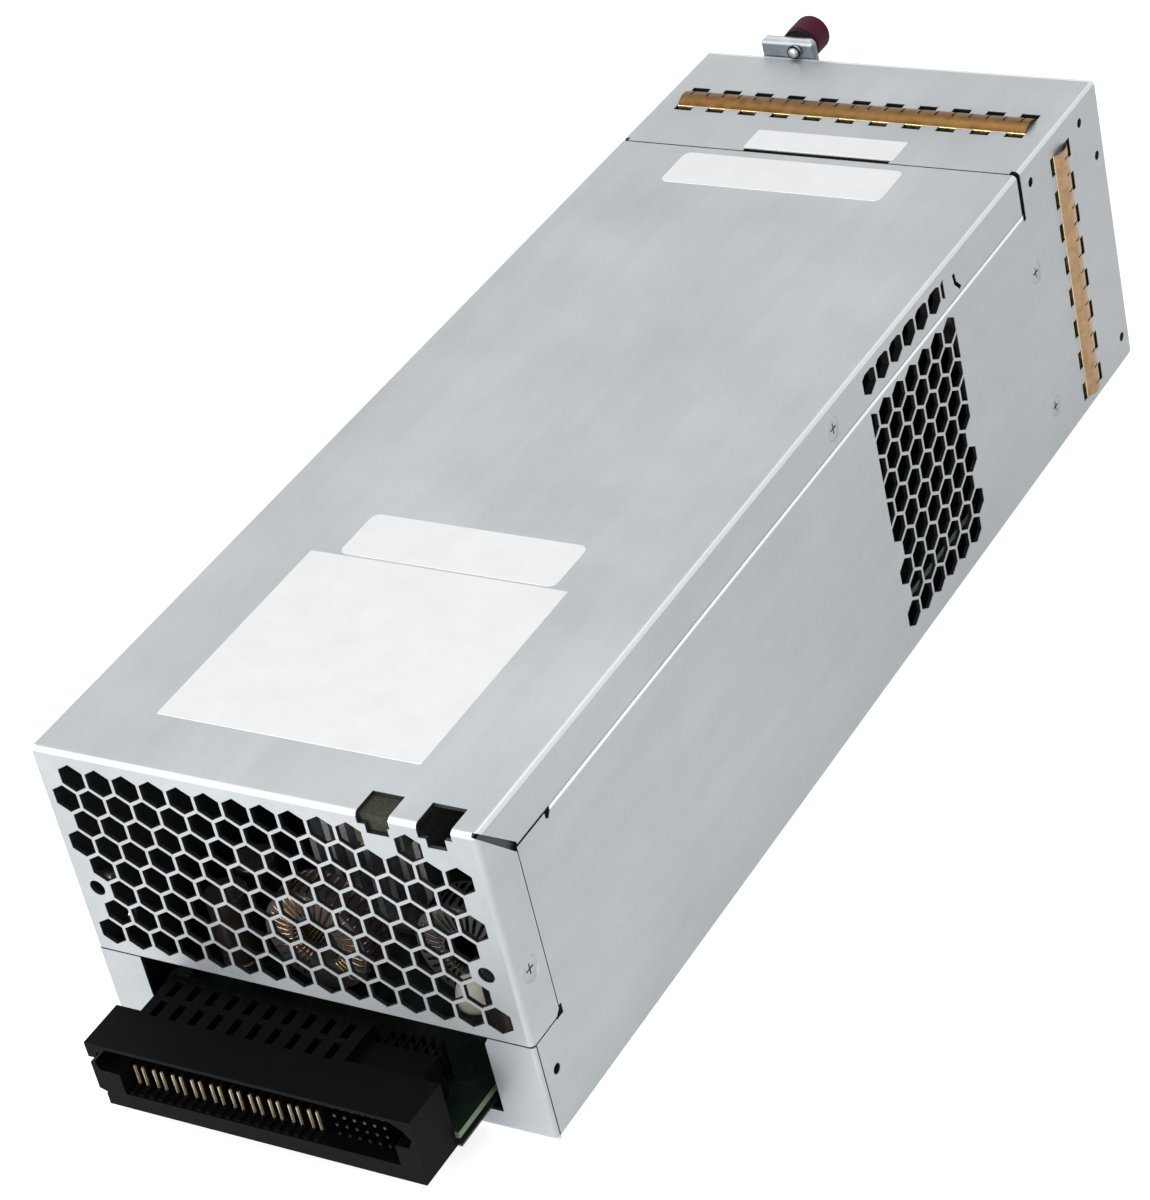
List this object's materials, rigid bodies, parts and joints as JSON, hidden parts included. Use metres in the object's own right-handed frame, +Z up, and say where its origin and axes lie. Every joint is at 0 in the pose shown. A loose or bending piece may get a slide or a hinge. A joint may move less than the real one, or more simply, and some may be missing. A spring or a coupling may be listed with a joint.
{
  "type": "hot swap server power supply",
  "caption": "Slide-in sheet-metal power supply module with perforated bent cover, blade connector, grounding finger strips, twin fans, mains inlet and a hinged latch with captive thumbscrew.",
  "frame": {"origin": "centre of the bounding box's footprint, on the plane the module's floor rests on", "axes": "+X across the module towards its vented side, +Y along the module from the blade connector to the exterior panel with the fans and mains inlet, +Z up"},
  "size_m": [0.1144, 0.3476, 0.0894],
  "materials": {
    "zinc_sheet": "zinc-plated, fine mottled satin",
    "plated_steel": "bright zinc",
    "spring_bronze": "bare copper-alloy spring strip",
    "connector_resin": "black moulded, satin",
    "contact_plating": "gold over nickel",
    "laminate": "green solder mask",
    "insulation": "black sheet",
    "sink_aluminium": "extruded, bare",
    "ferrite": "dark sintered",
    "copper_wire": "enamelled copper",
    "winding_tape": "polyester tape",
    "can_sleeve": "shrunk sleeve",
    "resin_black": "moulded",
    "fan_resin": "moulded, satin",
    "pad_foam": "foam",
    "lamp_lens": "translucent",
    "knob_maroon": "satin maroon",
    "collar_black": "black"
  },
  "bodies": {
    "module": {"chassis_tray": "zinc_sheet", "top_cover": "zinc_sheet", "exterior_panel": "zinc_sheet", "fan_bulkhead": "zinc_sheet", "gasket_top": "spring_bronze", "gasket_side": "spring_bronze", "connector_housing": "connector_resin", "power_blades": "contact_plating", "signal_pins": "contact_plating", "main_board": "laminate", "daughter_board": "laminate", "insulator_sheet": "insulation", "board_standoffs": "plated_steel", "board_screws": "plated_steel", "output_heat_sink": "sink_aluminium", "primary_heat_sink": "sink_aluminium", "choke_cores": "ferrite", "choke_windings": "copper_wire", "filter_choke": "ferrite", "bulk_capacitors": "can_sleeve", "output_capacitors": "can_sleeve", "transformer_core": "ferrite", "transformer_winding": "winding_tape", "power_transistors": "resin_black", "foam_pad": "pad_foam", "fan_frame_lower": "fan_resin", "fan_frame_upper": "fan_resin", "fan_screws": "plated_steel", "ac_inlet": "resin_black", "ac_inlet_pins": "plated_steel", "status_lamps": "lamp_lens", "lever_bracket": "plated_steel", "lever_pivot_pin": "plated_steel", "cover_screws": "plated_steel", "bulkhead_screws": "plated_steel"},
    "lever": {"latch_lever": "plated_steel", "tab_collar": "collar_black"},
    "screw_carrier": {"thumbscrew_washer": "collar_black"},
    "thumbscrew": {"thumbscrew_knob": "knob_maroon", "thumbscrew_stem": "plated_steel", "retaining_clip": "collar_black"},
    "rotor_lower": {"fan_rotor_lower": "fan_resin"},
    "rotor_upper": {"fan_rotor_upper": "fan_resin"}
  },
  "joints": [
    {"name": "latch_hinge", "type": "hinge", "parent": "module", "child": "lever", "pos_m": [-0.03245, 0.1686, 0.011], "axis": [-1, 0, 0], "range_deg": [0, 60]},
    {"name": "thumbscrew_travel", "type": "slide", "parent": "lever", "child": "screw_carrier", "axis": [0, 1, 0], "range_m": [0, 0.001]},
    {"name": "thumbscrew_turn", "type": "hinge", "parent": "screw_carrier", "child": "thumbscrew", "pos_m": [-0.02995, 0.1662, 0.0843], "axis": [0, 1, 0], "continuous": true},
    {"name": "fan_lower_spin", "type": "hinge", "parent": "module", "child": "rotor_lower", "pos_m": [0.0337, 0.147, 0.02135], "axis": [0, 1, 0], "continuous": true},
    {"name": "fan_upper_spin", "type": "hinge", "parent": "module", "child": "rotor_upper", "pos_m": [0.0337, 0.147, 0.06075], "axis": [0, 1, 0], "continuous": true}
  ]
}
